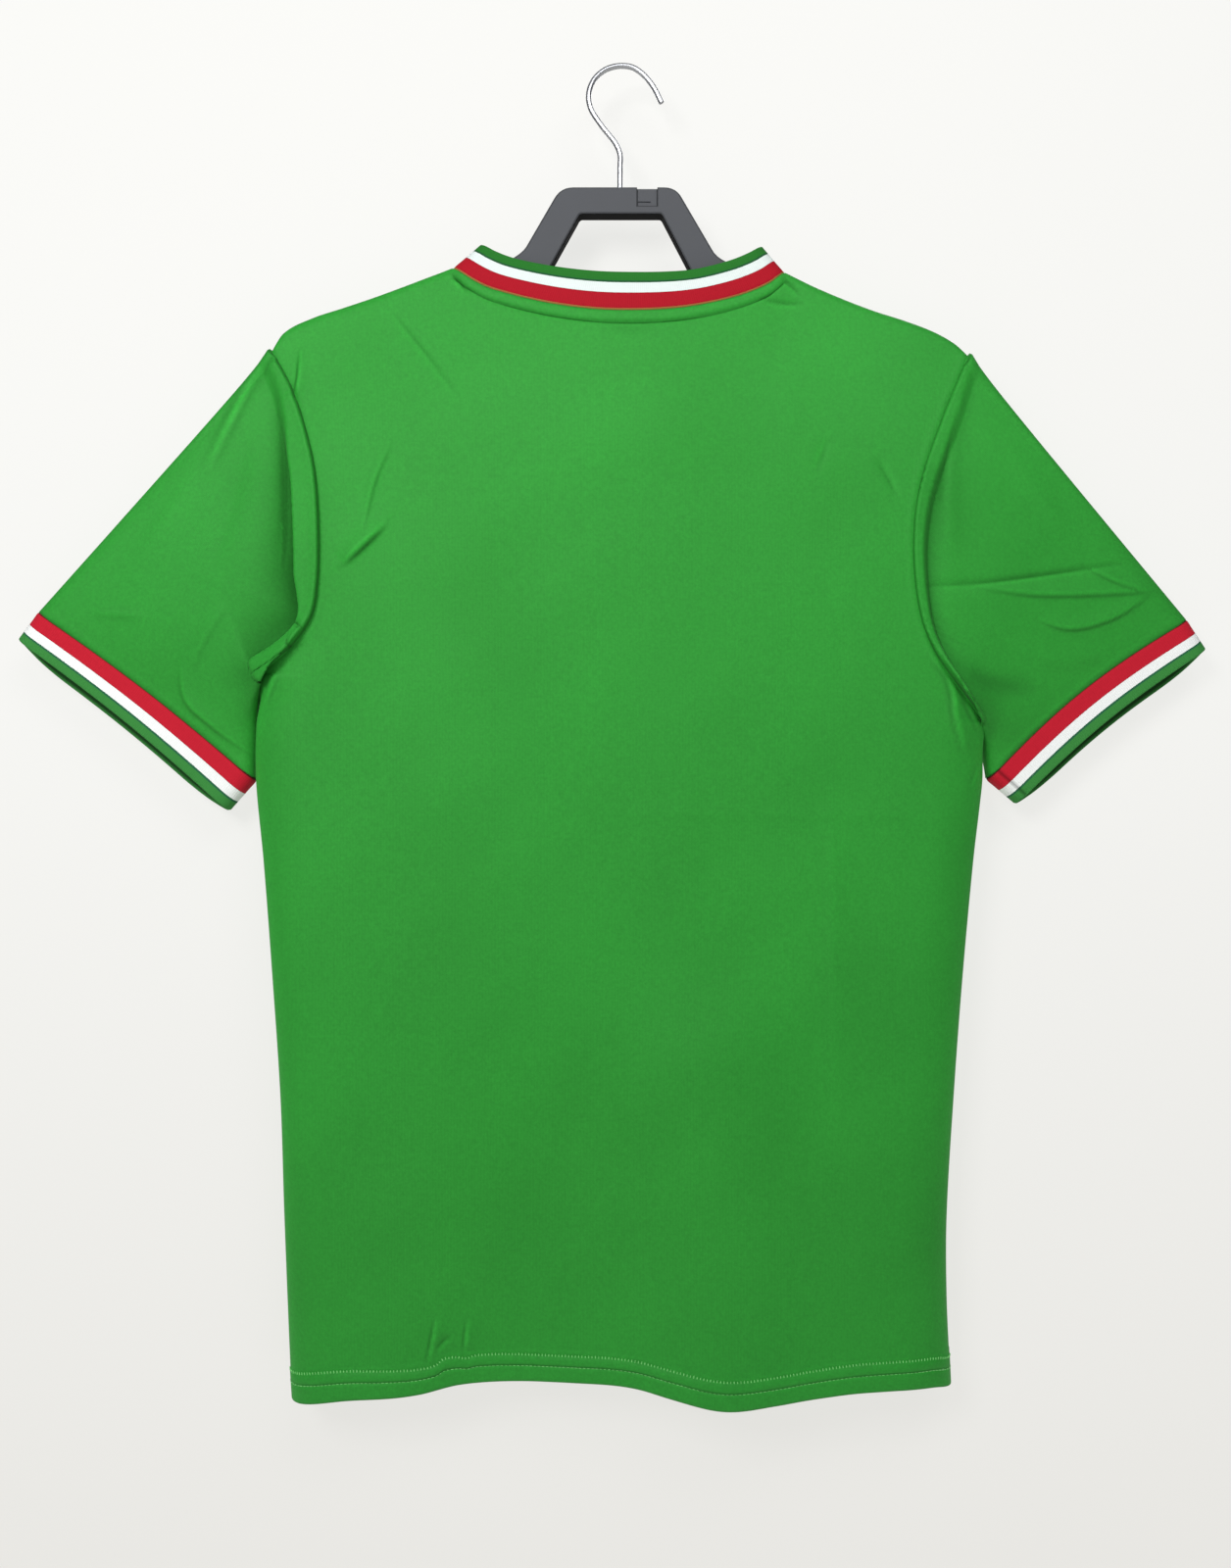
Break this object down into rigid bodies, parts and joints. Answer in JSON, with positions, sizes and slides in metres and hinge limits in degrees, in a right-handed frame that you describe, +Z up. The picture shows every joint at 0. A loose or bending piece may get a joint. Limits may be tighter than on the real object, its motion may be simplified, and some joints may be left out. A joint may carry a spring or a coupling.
{
  "type": "football jersey",
  "caption": "Short-sleeved green football jersey with a ribbed crew collar and cuffs striped red, white and green, seen from the back on a plastic hanger.",
  "frame": {"origin": "the inner top of the hook's crown, where it rests on whatever carries the hanger", "axes": "+Z up, +X to the right of the jersey's back as it is seen, +Y from the jersey's back to its front"},
  "size_m": [0.7656, 0.0512, 0.8547],
  "materials": {
    "back": "smooth plain polyester knit, soft sheen",
    "front": "smooth plain polyester knit, soft sheen",
    "sleeve_left": "smooth plain polyester knit, soft sheen",
    "sleeve_right": "smooth plain polyester knit, soft sheen",
    "collar": "flat rib knit, striped red, white and green",
    "cuff_left": "flat rib knit, striped red, white and green",
    "cuff_right": "flat rib knit, striped red, white and green",
    "hanger_frame": "fine moulded grain, satin",
    "hanger_hook": "bright drawn wire"
  },
  "bodies": {
    "root": {"back": "back", "front": "front", "sleeve_left": "sleeve_left", "sleeve_right": "sleeve_right", "collar": "collar", "cuff_left": "cuff_left", "cuff_right": "cuff_right", "hanger_frame": "hanger_frame", "hanger_hook": "hanger_hook"}
  },
  "joints": []
}
